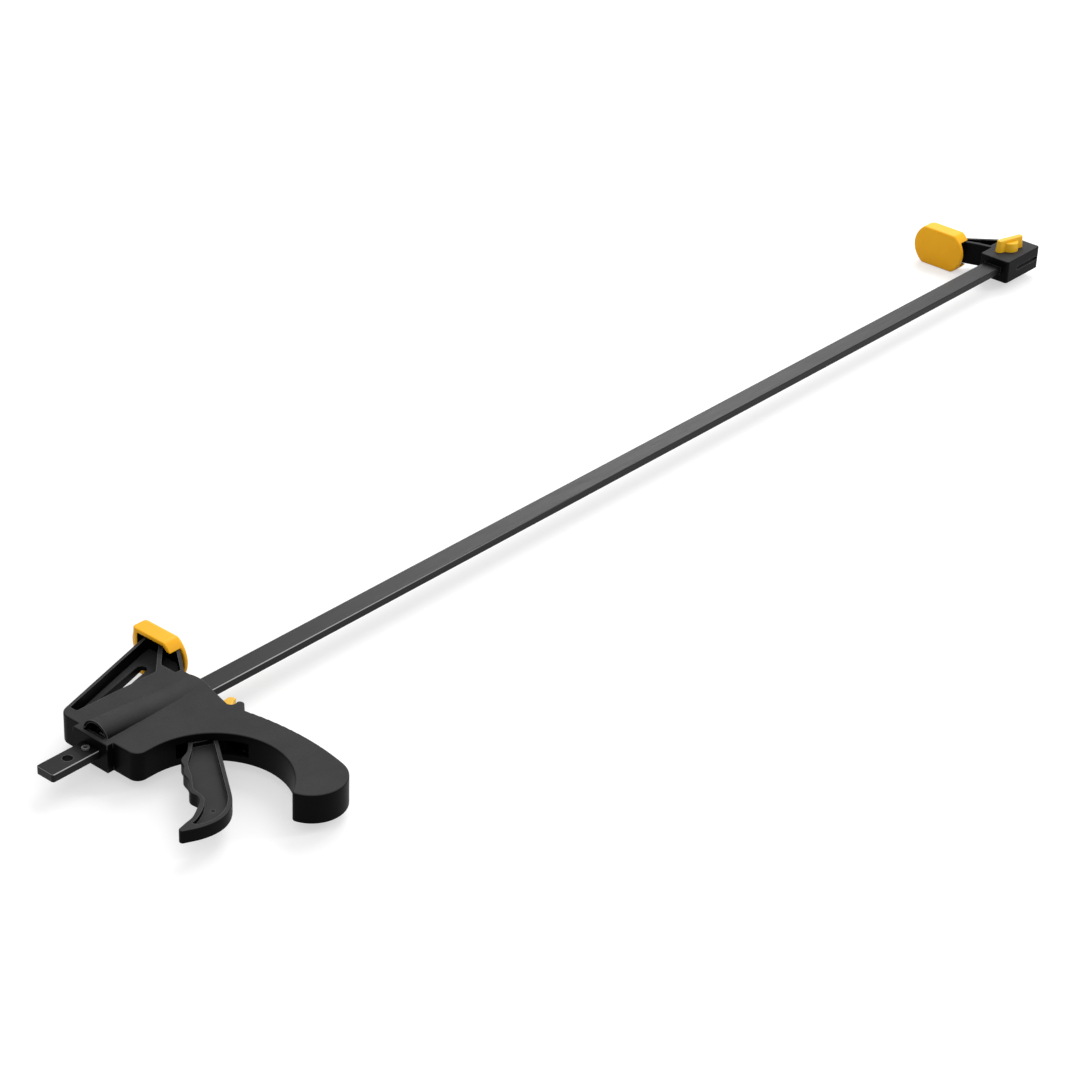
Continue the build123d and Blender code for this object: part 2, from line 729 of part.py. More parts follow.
# local y of the plate's plane runs up the plate; the bar crosses it this far below the pivot
brake_bar_y = -brake_pivot_y / cos(radians(brake_tilt))
brake_tail_top = brake_spring_y - brake_pivot_y - brake_spring_r - 1.2

with BuildPart() as brake_plate:
    with BuildSketch(brake_plane.offset(-brake_plate_t / 2)):
        with Locations((0, (brake_plate_above + brake_tail_top) / 2)):
            Rectangle(2 * plate_half_z, brake_plate_above - brake_tail_top)
        with Locations((0, (brake_tail_top - brake_plate_below) / 2)):
            Rectangle(2 * (release_half - 1.4), brake_plate_below + brake_tail_top)
        with Locations((0, brake_bar_y)):
            Rectangle(bar_thick + 2 * plate_gap, brake_hole, mode=Mode.SUBTRACT)
    extrude(amount=brake_plate_t)
brake_plate.part.label = "brake_plate"
export_step(brake_plate.part, "parts/brake_plate.step")

with BuildPart() as brake_spring:
    plate_share = (brake_pivot_y - brake_spring_y) * tan(radians(brake_tilt))
    brake_face_x = brake_pivot_x + plate_share - brake_plate_t / 2 / cos(radians(brake_tilt))
    brake_face_x -= brake_spring_r * tan(radians(brake_tilt))
    coil_start_x = brake_seat_x + brake_spring_wire / 2 + seat_gap
    coil_end_x = brake_face_x - brake_spring_wire / 2 - seat_gap
    with BuildLine():
        coil = Helix(
            (coil_end_x - coil_start_x) / brake_spring_turns,
            coil_end_x - coil_start_x,
            brake_spring_r - brake_spring_wire / 2,
            center=(coil_start_x, brake_spring_y, 0),
            direction=(1, 0, 0),
        )
    with BuildSketch(Plane(coil @ 0, z_dir=coil % 0)):
        Circle(brake_spring_wire / 2)
    sweep(is_frenet=True)
brake_spring.part.label = "brake_spring"
export_step(brake_spring.part, "parts/brake_spring.step")

# moulded finger tab, pushed over the tail of the brake plate
tab = [(release_front_x - behind, tab_top_y - below) for behind, below in release_outline]
with BuildPart() as release_lever:
    with BuildSketch(Plane.XY.offset(-release_half)):
        with BuildLine():
            Polyline(*tab[:3])
            ThreePointArc(*tab[2:5])
            ThreePointArc(*tab[4:7])
            Polyline(*tab[6:], tab[0])
        make_face()
    extrude(amount=2 * release_half)
    fillet(release_lever.faces().filter_by(Plane.XY).edges(), 0.8)
    add(brake_plate.part, mode=Mode.SUBTRACT)
release_lever.part.label = "release_lever"
export_step(release_lever.part, "parts/release_lever.step")

# ---------------------------------------------------------------- pads
with BuildPart() as pad_hollow:
    with BuildSketch(Plane.YZ.offset(pad_rear_x)):
        add(pad_profile.sketch)
        offset(amount=-pad_lip, mode=Mode.REPLACE)
    extrude(amount=pad_depth - pad_face)
    with BuildSketch(Plane.XY.offset(-pad_half_height)):
        with BuildLine():
            Polyline(*tip_cut(pad_rear_x, plate_front_x, pad_hook), close=True)
        make_face()
    extrude(amount=2 * pad_half_height, mode=Mode.SUBTRACT)
    with BuildSketch(Plane.YZ.offset(pad_rear_x)):
        with Locations((pad_mouth_y - pad_straight, 0)):
            Rectangle(2 * pad_straight, 2 * pad_mouth_half)
    extrude(amount=pad_depth - pad_face)

with BuildPart() as moving_jaw_pad:
    with BuildSketch(Plane.YZ.offset(pad_rear_x)):
        add(pad_profile.sketch)
    extrude(amount=pad_depth)
    fillet(moving_jaw_pad.faces().sort_by(Axis.X)[-1].outer_wire().edges(), pad_face_r)
    with BuildSketch(Plane.XY.offset(-pad_half_height)):
        with BuildLine():
            Polyline(*tip_cut(pad_rear_x, pad_tip_x, 0), close=True)
        make_face()
    extrude(amount=2 * pad_half_height, mode=Mode.SUBTRACT)
    add(pad_hollow.part, mode=Mode.SUBTRACT)
moving_jaw_pad.part.label = "moving_jaw_pad"
export_step(moving_jaw_pad.part, "parts/moving_jaw_pad.step")

with BuildPart() as fixed_jaw_pad:
    add(moving_jaw_pad.part)
    mirror(about=Plane.YZ.offset(mirror_x), mode=Mode.REPLACE)
fixed_jaw_pad.part.label = "fixed_jaw_pad"
export_step(fixed_jaw_pad.part, "parts/fixed_jaw_pad.step")

# ---------------------------------------------------------------- fixed jaw
fixed_plate_x = fixed_face_x + pad_face
arm_front = ((lock_x - 7.0, fixed_high_y - 2.0), (lock_x - 10.5, 24.0), (lock_x - 15.6, 37.5))
arm_back = ((lock_x + 15.0, fixed_high_y - 2.0), (lock_x + 11.0, 18.5), (fixed_plate_x + 13.0, 42.0))

with BuildSketch() as arm_outline:
    with BuildLine():
        Polyline(
            *arm_front,
            (fixed_plate_x + plate_wall - 0.5, 38.5),
            (fixed_plate_x + plate_wall - 0.5, 68.0),
            (fixed_plate_x + plate_wall + 3.0, 66.0),
            *reversed(arm_back),
            close=True,
        )
    make_face()

with BuildPart() as fixed_jaw:
    with BuildSketch(Plane.XY.offset(-fixed_half_thick)):
        base_mid = ((fixed_base_x + fixed_base_end_x) / 2, (fixed_high_y + fixed_low_y) / 2)
        with Locations(base_mid):
            RectangleRounded(
                fixed_base_end_x - fixed_base_x, fixed_high_y - fixed_low_y, fixed_corner_r
            )
        add(arm_outline.sketch)
    extrude(amount=2 * fixed_half_thick)
    fillet(fixed_jaw.faces().filter_by(Plane.XY).edges(), fixed_edge_r)
    # thin web inside the arm
    for side in (-1, 1):
        with BuildSketch(Plane.XY.offset(side * web_half)):
            add(arm_outline.sketch)
            offset(amount=-fixed_rim, kind=Kind.INTERSECTION, mode=Mode.REPLACE)
            with Locations((lock_x, fixed_high_y - 10)):
                Rectangle(80, 24, mode=Mode.SUBTRACT)
        extrude(amount=side * fixed_half_thick, mode=Mode.SUBTRACT)
    # plate behind the pad
    with BuildSketch(Plane.YZ.offset(fixed_plate_x)):
        add(pad_profile.sketch)
        offset(amount=-(pad_lip + pad_gap), mode=Mode.REPLACE)
    extrude(amount=plate_wall)
    with BuildSketch(Plane.XY.offset(-pad_half_height)):
        with BuildLine():
            Polyline(*tip_cut(plate_rear_x, plate_front_x, pad_hook + pad_gap), close=True)
        make_face()
        mirror(about=Plane.YZ.offset(mirror_x), mode=Mode.REPLACE)
    extrude(amount=2 * pad_half_height, mode=Mode.SUBTRACT)
    # pocket for the bar
    with BuildSketch(Plane.YZ.offset(fixed_base_x)):
        Rectangle(bar_width + bar_gap, bar_thick + bar_gap)
    extrude(amount=bar_end_x + bar_gap - fixed_base_x, mode=Mode.SUBTRACT)
    # long recess in the lower edge
    with BuildSketch(Plane.XZ.offset(-fixed_low_y)):
        with Locations((fixed_base_x + fixed_slot_start + fixed_slot_length / 2, 0)):
            SlotOverall(fixed_slot_length, 2 * fixed_slot_half)
    extrude(amount=-fixed_slot_depth, mode=Mode.SUBTRACT)
    # boss and stepped well of the lock
    with BuildSketch(Plane.XY.offset(fixed_half_thick)):
        with Locations((lock_x, 0)):
            Circle(lock_boss_r)
    extrude(amount=lock_boss_rise)
    well_floor_z = bar_thick / 2 + bar_gap / 2 + lock_floor
    boss_top_z = fixed_half_thick + lock_boss_rise
    with BuildSketch(Plane.XY.offset(well_floor_z)):
        with Locations((lock_x, 0)):
            Circle(lock_well_r)
    extrude(amount=boss_top_z - well_floor_z, mode=Mode.SUBTRACT)
    with BuildSketch():
        with Locations((lock_x, 0)):
            Circle(lock_pin_r + pin_gap)
    extrude(amount=well_floor_z, mode=Mode.SUBTRACT)
fixed_jaw.part.label = "fixed_jaw"
export_step(fixed_jaw.part, "parts/fixed_jaw.step")

# ---------------------------------------------------------------- lock of the fixed jaw
flange_low_z = well_floor_z + seat_gap
flange_top_z = flange_low_z + lock_flange_t
knob_low_z = fixed_half_thick + knob_skirt_gap
knob_top_z = knob_low_z + knob_height
knob_ceiling_z = boss_top_z + knob_skirt_gap
stem_top_z = knob_top_z - 2.0

with BuildPart() as lock_pin:
    with BuildSketch(Plane.XY.offset(-lock_pin_reach)):
        with Locations((lock_x, 0)):
            Circle(lock_pin_r)
    extrude(amount=lock_pin_reach + flange_low_z)
    with BuildSketch(Plane.XY.offset(flange_low_z)):
        with Locations((lock_x, 0)):
            Circle(lock_flange_r)
    extrude(amount=lock_flange_t)
    with BuildSketch(Plane.XY.offset(flange_top_z)):
        with Locations((lock_x, 0)):
            Circle(lock_stem_r)
    extrude(amount=stem_top_z - flange_top_z)
    chamfer(lock_pin.edges().sort_by(Axis.Z)[0], 0.6)
lock_pin.part.label = "lock_pin"
export_step(lock_pin.part, "parts/lock_pin.step")

with BuildPart() as lock_bush:
    with BuildSketch(Plane.XY.offset(boss_top_z - lock_bush_t)):
        with Locations((lock_x, 0)):
            Circle(lock_well_r)
            Circle(lock_stem_r + pin_gap, mode=Mode.SUBTRACT)
    extrude(amount=lock_bush_t)
lock_bush.part.label = "lock_bush"
export_step(lock_bush.part, "parts/lock_bush.step")

with BuildPart() as lock_spring:
    coil_low_z = flange_top_z + lock_spring_wire / 2 + seat_gap
    coil_top_z = boss_top_z - lock_bush_t - lock_spring_wire / 2 - seat_gap
    with BuildLine():
        coil = Helix(
            (coil_top_z - coil_low_z) / lock_spring_turns,
            coil_top_z - coil_low_z,
            (lock_stem_r + lock_flange_r) / 2,
            center=(lock_x, 0, coil_low_z),
        )
    with BuildSketch(Plane(coil @ 0, z_dir=coil % 0)):
        Circle(lock_spring_wire / 2)
    sweep(is_frenet=True)
lock_spring.part.label = "lock_spring"
export_step(lock_spring.part, "parts/lock_spring.step")

with BuildPart() as lock_knob:
    with BuildSketch(Plane.XY.offset(knob_low_z)):
        with Locations((lock_x, 0)):
            Circle(knob_hub_r)
    extrude(amount=knob_hub_height, taper=knob_draft)
    fillet(lock_knob.faces().sort_by(Axis.Z)[-1].edges(), knob_edge_r)
    wing_shrink = knob_height * tan(radians(knob_draft))
    for z, radius in ((knob_low_z, knob_wing_r), (knob_top_z, knob_wing_r - wing_shrink)):
        with BuildSketch(Plane.XY.offset(z)):
            with Locations((lock_x, 0)):
                SlotCenterToCenter(2 * knob_wing_reach, 2 * radius, rotation=knob_turn)
    loft()
    fillet(lock_knob.faces().sort_by(Axis.Z)[-1].edges(), knob_edge_r)
    with BuildSketch(Plane.XY.offset(knob_low_z)):
        with Locations((lock_x, 0)):
            Circle(lock_boss_r + knob_skirt_gap)
    extrude(amount=knob_ceiling_z - knob_low_z, mode=Mode.SUBTRACT)
    with BuildSketch(Plane.XY.offset(knob_low_z)):
        with Locations((lock_x, 0)):
            Circle(lock_stem_r)
    extrude(amount=stem_top_z - knob_low_z, mode=Mode.SUBTRACT)
lock_knob.part.label = "lock_knob"
export_step(lock_knob.part, "parts/lock_knob.step")
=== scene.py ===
import math

import bmesh
import bpy
from mathutils import Matrix, Vector


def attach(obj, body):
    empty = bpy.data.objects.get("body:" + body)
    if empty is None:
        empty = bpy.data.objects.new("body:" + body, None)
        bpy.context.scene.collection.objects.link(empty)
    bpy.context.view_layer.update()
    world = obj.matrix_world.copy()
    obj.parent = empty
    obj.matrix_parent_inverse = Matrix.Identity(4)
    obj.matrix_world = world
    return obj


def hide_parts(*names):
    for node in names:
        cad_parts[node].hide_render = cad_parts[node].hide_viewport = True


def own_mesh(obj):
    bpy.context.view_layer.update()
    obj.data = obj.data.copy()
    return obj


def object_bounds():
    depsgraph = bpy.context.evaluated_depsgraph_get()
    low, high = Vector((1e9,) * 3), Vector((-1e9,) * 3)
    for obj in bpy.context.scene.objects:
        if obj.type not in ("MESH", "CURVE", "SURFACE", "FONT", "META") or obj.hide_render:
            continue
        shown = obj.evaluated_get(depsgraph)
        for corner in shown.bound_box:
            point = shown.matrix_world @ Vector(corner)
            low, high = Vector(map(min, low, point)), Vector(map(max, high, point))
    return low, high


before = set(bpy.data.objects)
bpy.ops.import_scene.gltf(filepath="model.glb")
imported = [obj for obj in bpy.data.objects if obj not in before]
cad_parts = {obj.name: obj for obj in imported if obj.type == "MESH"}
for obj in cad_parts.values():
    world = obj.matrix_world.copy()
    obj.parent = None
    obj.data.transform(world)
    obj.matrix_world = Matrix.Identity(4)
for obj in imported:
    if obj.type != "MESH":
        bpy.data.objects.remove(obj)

# The clamp lies on its side: the bar along X, the jaws towards +Y, the hump and the lock
# knob up. Everything is in metres.
cad_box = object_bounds()


# ------------------------------------------------------------------ bar
# Flat bar of drawn steel, 16 by 6 mm, with barely broken edges. It is blacked and left satin,
# so a fine grain runs along it; its light edges are partly scuffing and partly a painted
# highlight.
def nodes_of(material):
    """The material's node tree and its Principled shader."""
    material.use_nodes = True
    tree = material.node_tree
    return tree, tree.nodes["Principled BSDF"]


def join(tree, source, target):
    tree.links.new(source, target)


def math_node(tree, operation, first, second=None, clamp=False):
    """A Math node; first and second are sockets or numbers."""
    node = tree.nodes.new("ShaderNodeMath")
    node.operation = operation
    node.use_clamp = clamp
    for slot, value in enumerate((first, second)):
        if value is None:
            continue
        if isinstance(value, (int, float)):
            node.inputs[slot].default_value = value
        else:
            join(tree, value, node.inputs[slot])
    return node.outputs[0]


def spread(tree, value, low, high, to_low, to_high):
    """Map Range from low..high to to_low..to_high, clamped and smooth."""
    node = tree.nodes.new("ShaderNodeMapRange")
    node.interpolation_type = "SMOOTHSTEP"
    join(tree, value, node.inputs["Value"])
    ends = {"From Min": low, "From Max": high, "To Min": to_low, "To Max": to_high}
    for name, number in ends.items():
        node.inputs[name].default_value = number
    return node.outputs["Result"]


def mix_colour(tree, share, first, second):
    """Colour between first and second; each is a socket or an rgb tuple."""
    node = tree.nodes.new("ShaderNodeMix")
    node.data_type = "RGBA"
    join(tree, share, node.inputs["Factor"])
    first_slot, second_slot, mixed_slot = 6, 7, 2  # a Mix node's colour sockets
    for slot, value in ((first_slot, first), (second_slot, second)):
        if isinstance(value, tuple):
            node.inputs[slot].default_value = (*value, 1.0)
        else:
            join(tree, value, node.inputs[slot])
    return node.outputs[mixed_slot]


def speckle(tree, place, scale, detail, stretch=(1.0, 1.0, 1.0)):
    """Noise on Object coordinates; scale is in grains per metre."""
    mapping = tree.nodes.new("ShaderNodeMapping")
    mapping.inputs["Scale"].default_value = stretch
    join(tree, place, mapping.inputs["Vector"])
    noise = tree.nodes.new("ShaderNodeTexNoise")
    noise.inputs["Scale"].default_value = scale
    noise.inputs["Detail"].default_value = detail
    join(tree, mapping.outputs[0], noise.inputs["Vector"])
    return noise.outputs["Fac"]


def bump_of(tree, height, depth):
    """Normal of a surface whose height varies by depth; both are sockets."""
    bump = tree.nodes.new("ShaderNodeBump")
    join(tree, height, bump.inputs["Height"])
    join(tree, depth, bump.inputs["Distance"])
    return bump.outputs[0]


def axes_of(tree, vector):
    """The X, Y and Z outputs of a vector."""
    split = tree.nodes.new("ShaderNodeSeparateXYZ")
    join(tree, vector, split.inputs[0])
    return split.outputs


def new_group(name, inputs, outputs):
    """A shader group with named sockets, and its input and output nodes. Each of inputs is
    a name, a kind and a value or None, each of outputs a name and a kind."""
    group = bpy.data.node_groups.new(name, "ShaderNodeTree")
    for title, kind, number in inputs:
        socket = group.interface.new_socket(title, in_out="INPUT", socket_type=kind)
        if number is not None:
            socket.default_value = number
    for title, kind in outputs:
        group.interface.new_socket(title, in_out="OUTPUT", socket_type=kind)
    return group, group.nodes.new("NodeGroupInput"), group.nodes.new("NodeGroupOutput")


def place_group(tree, group, **values):
    """The group in a material, with its own values; underscores stand for spaces."""
    node = tree.nodes.new("ShaderNodeGroup")
    node.node_tree = group
    for name, value in values.items():
        socket = node.inputs[name.replace("_", " ")]
        if isinstance(value, (int, float)):
            socket.default_value = value
        else:
            join(tree, value, socket)
    return node


def rubbed_and_lit_edges():
    """Mask of the outer edges: 1 on an edge, 0 on a face. It stands for scuffing where
    handling rubs the finish and, on the nylon, the bar and the pin, for a painted highlight on
    the edges. Width is how far it reaches, Break up how patchy it is."""
    just_bent, well_bent = 0.995, 0.8  # cosine between the rounded and the true normal
    patches_per_metre, patch_detail = 220.0, 3.0
    group, inside, outside = new_group(
        "scuffed and lit edges",
        [("Width", "NodeSocketFloat", 0.0006), ("Break up", "NodeSocketFloat", 0.5)],
        [("Mask", "NodeSocketFloat")],
    )
    edge = group.nodes.new("ShaderNodeBevel")
    edge.samples = 6
    join(group, inside.outputs["Width"], edge.inputs["Radius"])
    geometry = group.nodes.new("ShaderNodeNewGeometry")
    product = group.nodes.new("ShaderNodeVectorMath")
    product.operation = "DOT_PRODUCT"
    join(group, edge.outputs[0], product.inputs[0])
    join(group, geometry.outputs["Normal"], product.inputs[1])
    bend = spread(group, product.outputs["Value"], just_bent, well_bent, 0.0, 1.0)
    place = group.nodes.new("ShaderNodeTexCoord").outputs["Object"]
    noise = speckle(group, place, patches_per_metre, patch_detail)
    patches = spread(group, noise, 0.35, 0.65, 0.0, 1.0)
    unrubbed = math_node(group, "MULTIPLY", inside.outputs["Break up"], patches)
    share = math_node(group, "SUBTRACT", 1.0, unrubbed)
    mask = math_node(group, "MULTIPLY", bend, share, clamp=True)
    join(group, mask, outside.inputs["Mask"])
    return group


def drawn_grain():
    """Fine lines along X, as rolling, drawing or brushing leaves them, and a soft cloud."""
    lines_per_metre, line_detail, line_stretch = 2600.0, 2.0, (0.012, 1.0, 1.0)
    clouds_per_metre, cloud_detail, cloud_stretch = 60.0, 4.0, (0.25, 1.0, 1.0)
    group, inside, outside = new_group(
        "drawn grain",
        [("Place", "NodeSocketVector", None), ("Depth", "NodeSocketFloat", 0.00002)],
        [("Lines", "NodeSocketFloat"), ("Cloud", "NodeSocketFloat"),
         ("Normal", "NodeSocketVector")],
    )
    place = inside.outputs["Place"]
    lines = speckle(group, place, lines_per_metre, line_detail, line_stretch)
    cloud = speckle(group, place, clouds_per_metre, cloud_detail, cloud_stretch)
    join(group, lines, outside.inputs["Lines"])
    join(group, cloud, outside.inputs["Cloud"])
    join(group, bump_of(group, lines, inside.outputs["Depth"]), outside.inputs["Normal"])
    return group


edge_wear_and_highlight = rubbed_and_lit_edges()
steel_grain = drawn_grain()


def steel(name, colour, worn_and_lit_colour, roughness, metallic, specular=0.5, edge_strength=1.0, depth=0.00002,
          mottle=0.2):
    """Steel with lengthwise grain, a cloudy finish and edges turned to the colour worn, which
    stands for scuffing from handling and, where it is light on the bar and the pin, for a
    painted highlight. wear is how much of the edge colour shows, depth the grain's, mottle
    how cloudy the finish is."""
    edge_width, broken_share, rough_swing = 0.0005, 0.6, 0.06
    material = bpy.data.materials.new(name)
    tree, shader = nodes_of(material)
    place = tree.nodes.new("ShaderNodeTexCoord").outputs["Object"]
    grain = place_group(tree, steel_grain, Place=place, Depth=depth)
    edges = place_group(tree, edge_wear_and_highlight, Width=edge_width, Break_up=broken_share)
    cloud = spread(tree, grain.outputs["Cloud"], 0.3, 0.7, 0.0, 1.0)
    darker = tuple((1.0 - mottle) * c for c in colour)
    lighter = tuple((1.0 + 0.6 * mottle) * c for c in colour)
    body = mix_colour(tree, cloud, darker, lighter)
    # Edge colour: scuffing from handling, and on the bar and the pin a painted highlight.
    edge_wear_and_highlight_share = math_node(tree, "MULTIPLY", edges.outputs["Mask"], edge_strength)
    join(tree, mix_colour(tree, edge_wear_and_highlight_share, body, worn_and_lit_colour), shader.inputs["Base Color"])
    smoothest, roughest = roughness - rough_swing, roughness + rough_swing
    rough = spread(tree, grain.outputs["Lines"], 0.2, 0.8, smoothest, roughest)
    join(tree, rough, shader.inputs["Roughness"])
    shader.inputs["Metallic"].default_value = metallic
    shader.inputs["Specular IOR Level"].default_value = specular
    join(tree, grain.outputs["Normal"], shader.inputs["Normal"])
    return material


def finish_node(node, material):
    """Gives a carried-over CAD piece its material."""
    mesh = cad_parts[node].data
    mesh.materials.clear()
    mesh.materials.append(material)


def paint_rim_highlight(material):
    """Paints a highlight on the lower rim of the bar's top face, bright at the tail and fading
    out along the bar, and a weaker one on the rim of its end."""
    # Colour of the painted highlight.
    rim_highlight_colour = (0.42, 0.42, 0.42)
    end_share = 0.57
    slant_starts, slant_full = 0.15, 0.40
    fade_from, fade_to = 0.10, 0.55
    tree, shader = nodes_of(material)
    where = tree.nodes.new("ShaderNodeTexCoord")
    turned = axes_of(tree, where.outputs["Normal"])
    spot = axes_of(tree, where.outputs["Object"])
    endways = math_node(tree, "MULTIPLY", turned["X"], end_share)
    sideways = math_node(tree, "MINIMUM", endways, turned["Y"])
    outwards = math_node(tree, "MULTIPLY", sideways, -1.0)
    slant = math_node(tree, "MULTIPLY", outwards, turned["Z"])
    rim = math_node(tree, "MULTIPLY", spread(tree, slant, slant_starts, slant_full, 0.0, 1.0),
                    spread(tree, spot["X"], fade_from, fade_to, 1.0, 0.0))
    body = shader.inputs["Base Color"].links[0].from_socket
    join(tree, mix_colour(tree, rim, body, rim_highlight_colour), shader.inputs["Base Color"])


bar_steel = steel("bar_steel", colour=(0.006, 0.006, 0.0064), worn_and_lit_colour=(0.30, 0.30, 0.305),
                  roughness=0.40, metallic=0.0, specular=0.15, depth=0.00001, mottle=0.08)
# Painted highlight on the lower rim of the bar at the tail.
paint_rim_highlight(bar_steel)
finish_node("bar", bar_steel)

# ------------------------------------------------------------------ stop pin
# Slotted spring pin pressed through the bar, which keeps the housing from sliding off. It is
# rolled from dark oiled strip; its near-white end rims are partly scuffing and partly a
# painted highlight.
pin_steel = steel("pin_steel", colour=(0.20, 0.20, 0.205), worn_and_lit_colour=(0.85, 0.85, 0.86),
                  roughness=0.28, metallic=0.5)
finish_node("bar_stop_pin", pin_steel)


# ------------------------------------------------------------------ housing shells
# Two half shells of black glass-filled nylon that meet on the bar's middle plane. Their flat
# faces are painted greyer as lit and their walls deep black as shaded, which is painted light
# and shade; the faces also have a fine spark texture and the walls are smoother.
def moulded_skin():
    """Skin of a moulding: a mask of its flat faces, a fine grain that is deepest on them, and
    a soft cloud."""
    wall_slope, face_slope = 0.35, 0.95
    grains_per_metre, grain_detail, wall_depth_share = 2400.0, 3.0, 0.35
    clouds_per_metre, cloud_detail = 45.0, 3.0
    group, inside, outside = new_group(
        "moulded skin",
        [("Place", "NodeSocketVector", None), ("Turned", "NodeSocketVector", None),
         ("Top side", "NodeSocketFloat", 1.0), ("Under side", "NodeSocketFloat", 1.0),
         ("Grain depth", "NodeSocketFloat", 0.00003)],
        [("Face", "NodeSocketFloat"), ("Grain", "NodeSocketFloat"),
         ("Cloud", "NodeSocketFloat"), ("Normal", "NodeSocketVector")],
    )
    turned = axes_of(group, inside.outputs["Turned"])
    upwards = math_node(group, "MULTIPLY", turned["Z"], inside.outputs["Top side"])
    under = math_node(group, "MULTIPLY", turned["Z"], inside.outputs["Under side"])
    downwards = math_node(group, "MULTIPLY", under, -1.0)
    upright = math_node(group, "MAXIMUM", upwards, downwards)
    face = spread(group, upright, wall_slope, face_slope, 0.0, 1.0)
    grain = speckle(group, inside.outputs["Place"], grains_per_metre, grain_detail)
    cloud = speckle(group, inside.outputs["Place"], clouds_per_metre, cloud_detail)
    depth = math_node(group, "MULTIPLY", inside.outputs["Grain depth"],
                      spread(group, face, 0.0, 1.0, wall_depth_share, 1.0))
    join(group, face, outside.inputs["Face"])
    join(group, grain, outside.inputs["Grain"])
    join(group, cloud, outside.inputs["Cloud"])
    join(group, bump_of(group, grain, depth), outside.inputs["Normal"])
    return group


skin = moulded_skin()


def moulded(name, lit_face_colour, shaded_wall_colour, edge_highlight_colour, roughness, specular, top_side=1.0,
            under_side=1.0, deep_shine=1.0):
    """Moulded plastic: its flat faces are painted lighter as lit and its walls darker as
    shaded, which is painted light and shade, and its edges carry a painted highlight. top_side
    and under_side say which sides count as lit faces, deep_shine how much of the painted edge
    highlight shows on edges that lie deeper than the rims of the faces, from deep_z to rim_z
    off the middle."""
    edge_width, broken_share = 0.0008, 0.35
    deep_z, rim_z = 0.0060, 0.0085
    rough_swing = 0.08
    material = bpy.data.materials.new(name)
    tree, shader = nodes_of(material)
    where = tree.nodes.new("ShaderNodeTexCoord")
    surface = place_group(tree, skin, Place=where.outputs["Object"],
                          Turned=where.outputs["Normal"], Top_side=top_side,
                          Under_side=under_side)
    edges = place_group(tree, edge_wear_and_highlight, Width=edge_width, Break_up=broken_share)
    # Painted light and shade: flat faces are painted lighter as lit, walls darker as shaded.
    lit_and_shaded_tone = mix_colour(tree, surface.outputs["Face"], shaded_wall_colour, lit_face_colour)
    flecks = spread(tree, surface.outputs["Grain"], 0.3, 0.75, 0.82, 1.18)
    cloud = spread(tree, surface.outputs["Cloud"], 0.3, 0.7, 0.93, 1.07)
    shade = tree.nodes.new("ShaderNodeVectorMath")
    shade.operation = "SCALE"
    join(tree, lit_and_shaded_tone, shade.inputs[0])
    join(tree, math_node(tree, "MULTIPLY", flecks, cloud), shade.inputs["Scale"])
    height = math_node(tree, "ABSOLUTE", axes_of(tree, where.outputs["Object"])["Z"])
    near_rim = spread(tree, height, deep_z, rim_z, deep_shine, 1.0)
    # Painted highlight on the edges, kept off edges near the middle plane as deep_shine says.
    edge_wear_and_highlight_share = math_node(tree, "MULTIPLY", edges.outputs["Mask"], near_rim, clamp=True)
    colour = mix_colour(tree, edge_wear_and_highlight_share, shade.outputs[0], edge_highlight_colour)
    join(tree, colour, shader.inputs["Base Color"])
    smoothest, roughest = roughness - rough_swing, roughness + rough_swing
    rough = spread(tree, surface.outputs["Face"], 0.0, 1.0, smoothest, roughest)
    join(tree, rough, shader.inputs["Roughness"])
    shader.inputs["Specular IOR Level"].default_value = specular
    join(tree, surface.outputs["Normal"], shader.inputs["Normal"])
    return material


# Painted light and shade: flat faces painted lighter as lit, walls darker as shaded; the edge
# colour is a painted highlight.
nylon = {
    "lit_face_colour": (0.041, 0.041, 0.0425),
    "shaded_wall_colour": (0.0025, 0.0025, 0.0028),
    "edge_highlight_colour": (0.15, 0.15, 0.155),
    "roughness": 0.50,
    "specular": 0.04,
}
upper_nylon = moulded("upper_shell_nylon", **nylon, under_side=0.0, deep_shine=0.0)
lower_nylon = moulded("lower_shell_nylon", **nylon, top_side=0.0, deep_shine=0.0)
finish_node("upper_shell", upper_nylon)
finish_node("lower_shell", lower_nylon)

# ------------------------------------------------------------------ shell screws
# Seven self-tapping screws with cross recesses, driven from below, which hold the shells
# together. They are of steel, zinc plated and blacked.
screw_steel = steel("screw_steel", colour=(0.05, 0.05, 0.053), worn_and_lit_colour=(0.28, 0.28, 0.29),
                    roughness=0.34, metallic=0.7, edge_strength=0.6)
finish_node("shell_screws", screw_steel)

# ------------------------------------------------------------------ trigger and its pin
# The trigger is moulded of the same nylon, a thin web inside a thick rim, and turns on a
# steel pin held in the shells.
black_nylon = moulded("black_nylon", **nylon)
finish_node("trigger", black_nylon)
finish_node("trigger_pin", pin_steel)

# ------------------------------------------------------------------ drive and brake
# Stamped steel plates that bite on the bar, with springs of dark oiled wire. The brake's
# finger tab is moulded in yellow.
plate_steel = steel("plate_steel", colour=(0.30, 0.30, 0.31), worn_and_lit_colour=(0.6, 0.6, 0.61),
                    roughness=0.34, metallic=0.9)
for plate in ("drive_plate_front", "drive_plate_rear", "brake_plate"):
    finish_node(plate, plate_steel)

spring_steel = steel("spring_steel", colour=(0.06, 0.06, 0.063), worn_and_lit_colour=(0.2, 0.2, 0.205),
                     roughness=0.42, metallic=0.6, edge_strength=0.2)


